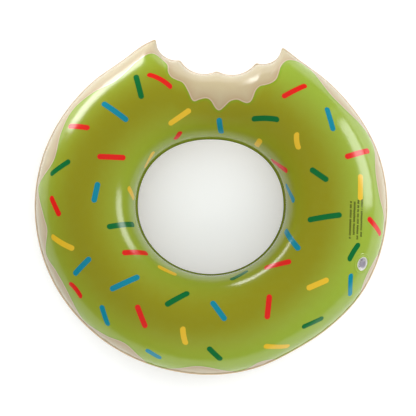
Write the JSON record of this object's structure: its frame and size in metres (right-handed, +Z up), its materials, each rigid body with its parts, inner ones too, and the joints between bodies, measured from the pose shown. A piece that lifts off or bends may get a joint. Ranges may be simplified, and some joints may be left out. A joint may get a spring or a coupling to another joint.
{
  "type": "inflatable swim ring",
  "caption": "Inflatable pool float shaped like a bitten doughnut: two welded PVC sheets, a centre hole to sit in and a push-in air valve.",
  "frame": {"origin": "on the floor, under the middle of the float's box", "axes": "+Z up out of the printed side, +Y from the middle of the hole towards the bite, +X towards the valve's side"},
  "size_m": [0.853, 0.8142, 0.2238],
  "materials": {
    "printed_pvc": "glossy calendered PVC film, printed green with coloured dashes on a cream ground",
    "cream_pvc": "glossy calendered PVC film, plain cream",
    "clear_pvc": "clear soft moulded PVC",
    "clear_film": "thin clear soft PVC"
  },
  "bodies": {
    "float": {"top_sheet": "printed_pvc", "bottom_sheet": "cream_pvc", "valve_collar": "clear_pvc", "valve_neck": "clear_film"},
    "stem": {"valve_stem": "clear_pvc", "flap_seat": "clear_pvc", "plug_strap": "clear_pvc"},
    "plug": {"valve_plug": "clear_pvc"},
    "flap": {"check_flap": "clear_film"}
  },
  "joints": [
    {"name": "valve_push", "type": "slide", "parent": "float", "child": "stem", "axis": [0.6645, -0.3156, 0.6773], "range_m": [0, 0.014], "deforming": ["valve_neck"]},
    {"name": "plug_swing", "type": "hinge", "parent": "stem", "child": "plug", "pos_m": [0.3601, -0.15687, 0.17521], "axis": [0.7217, 0.0359, -0.6913], "range_deg": [0, 130], "deforming": ["plug_strap"]},
    {"name": "flap_swing", "type": "hinge", "parent": "stem", "child": "flap", "pos_m": [0.35713, -0.13856, 0.17307], "axis": [0.7217, 0.0359, -0.6913], "range_deg": [0, 45]}
  ]
}
